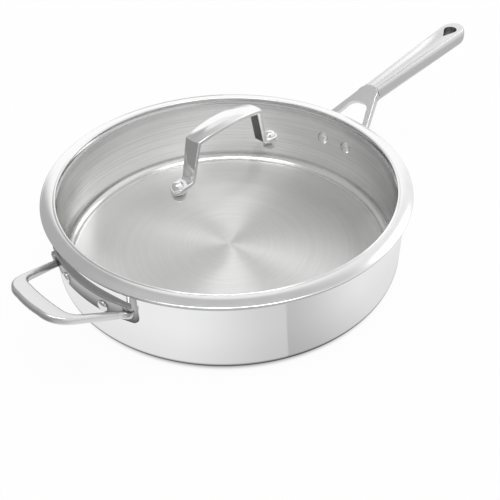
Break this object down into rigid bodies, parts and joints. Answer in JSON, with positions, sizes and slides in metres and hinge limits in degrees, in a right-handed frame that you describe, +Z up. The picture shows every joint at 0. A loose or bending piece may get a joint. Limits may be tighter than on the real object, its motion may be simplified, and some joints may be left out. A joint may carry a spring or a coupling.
{
  "type": "saute pan with lid",
  "caption": "Wide straight-sided stainless saute pan with a long forked handle, a looped helper handle, and a domed glass lid in a steel band with a strap handle that lifts off.",
  "frame": {"origin": "centre of the flat underside that the pan stands on", "axes": "+X along the long handle, -X along the helper handle, +Z up along the pan's axis"},
  "size_m": [0.5676, 0.3154, 0.1348],
  "materials": {
    "polished_steel": "mirror-polished stainless steel",
    "satin_steel": "satin stainless steel, brushed in circles",
    "cast_steel": "cast stainless steel, smooth satin",
    "core_aluminium": "plain sheet, seen only at the lip's edge",
    "clear_glass": "clear tempered glass",
    "pale_silicone": "pale translucent silicone"
  },
  "bodies": {
    "pan": {"pan_outer_skin": "polished_steel", "pan_core": "core_aluminium", "pan_inner_liner": "satin_steel", "long_handle_yoke": "cast_steel", "long_handle_grip": "cast_steel", "long_handle_rivet_left": "polished_steel", "long_handle_rivet_right": "polished_steel", "helper_handle": "cast_steel", "helper_handle_rivet_left": "polished_steel", "helper_handle_rivet_right": "polished_steel"},
    "lid": {"lid_glass": "clear_glass", "lid_band": "polished_steel", "lid_handle": "polished_steel", "lid_handle_rivet_front": "polished_steel", "lid_handle_rivet_rear": "polished_steel", "lid_upper_gasket_front": "pale_silicone", "lid_upper_gasket_rear": "pale_silicone", "lid_lower_gasket_front": "pale_silicone", "lid_lower_gasket_rear": "pale_silicone", "lid_backing_washer_front": "polished_steel", "lid_backing_washer_rear": "polished_steel"}
  },
  "joints": [
    {"name": "lid_lift", "type": "slide", "parent": "pan", "child": "lid", "axis": [0, 0, 1], "range_m": [0, 0.12]}
  ]
}
